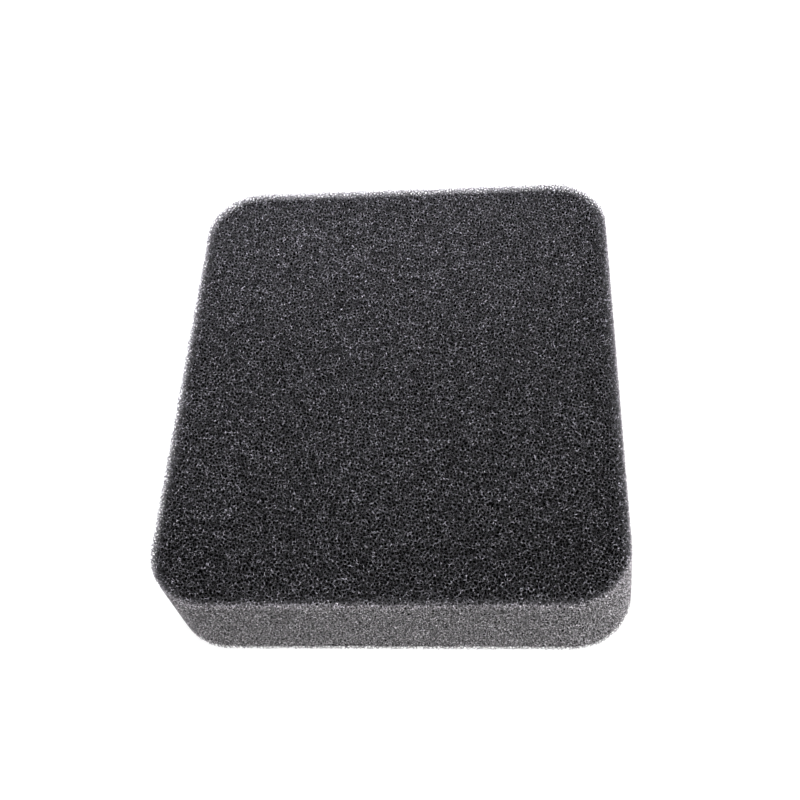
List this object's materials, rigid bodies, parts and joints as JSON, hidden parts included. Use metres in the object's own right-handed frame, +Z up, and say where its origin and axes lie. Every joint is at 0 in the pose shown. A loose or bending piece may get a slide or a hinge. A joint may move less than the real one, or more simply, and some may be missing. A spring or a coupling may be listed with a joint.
{
  "type": "foam air filter element",
  "caption": "Rounded rectangular block of open-cell foam that filters the intake air of a small engine inside its filter case.",
  "frame": {"origin": "middle of the bottom face", "axes": "+Z up through the foam's thickness, +Y along its length, +X across its width"},
  "size_m": [0.115, 0.134, 0.025],
  "materials": {
    "filter_foam": "matte charcoal open-cell foam"
  },
  "bodies": {
    "root": {"foam_element": "filter_foam"}
  },
  "joints": []
}
